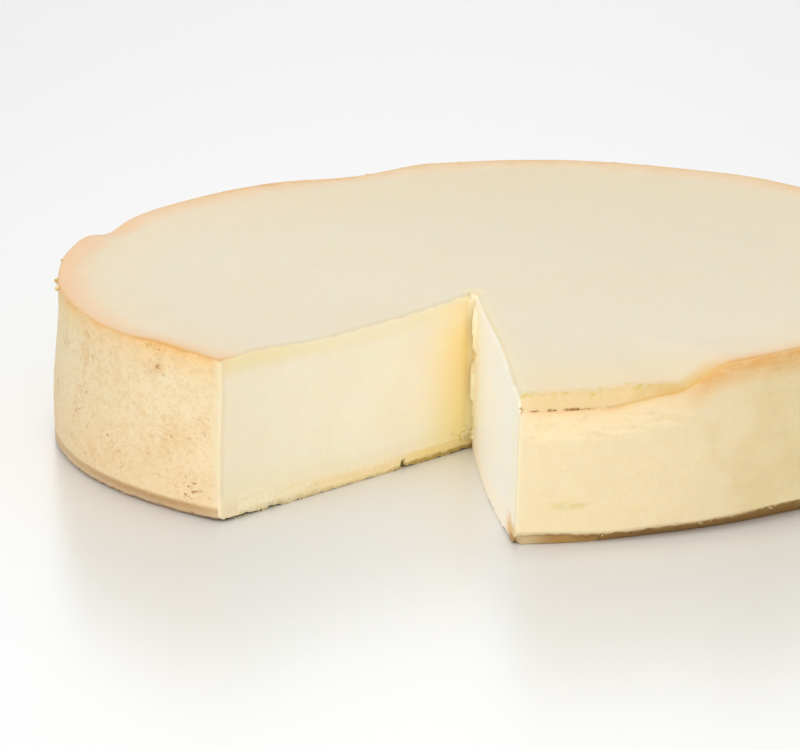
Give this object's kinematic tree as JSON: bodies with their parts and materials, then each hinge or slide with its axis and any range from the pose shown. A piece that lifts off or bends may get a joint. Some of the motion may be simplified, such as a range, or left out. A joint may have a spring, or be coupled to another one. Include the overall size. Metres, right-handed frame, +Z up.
{
  "type": "cheesecake",
  "caption": "Round baked cheesecake on a thin sponge base, with a browned rim and a wedge-shaped slice cut out of it.",
  "frame": {"origin": "middle of the cake's round outline, on the surface that it stands on", "axes": "+Z up; -Y is the front, and the slice is cut out of the front, a little to the left, with its tip just in front of the middle"},
  "size_m": [0.2582, 0.2562, 0.0479],
  "materials": {
    "cheese": "soft, smooth baked cheese, ivory with a golden brown edge",
    "sponge": "dry, fine-crumbed pale sponge"
  },
  "bodies": {
    "root": {"cheese_filling": "cheese", "sponge_base": "sponge"}
  },
  "joints": []
}
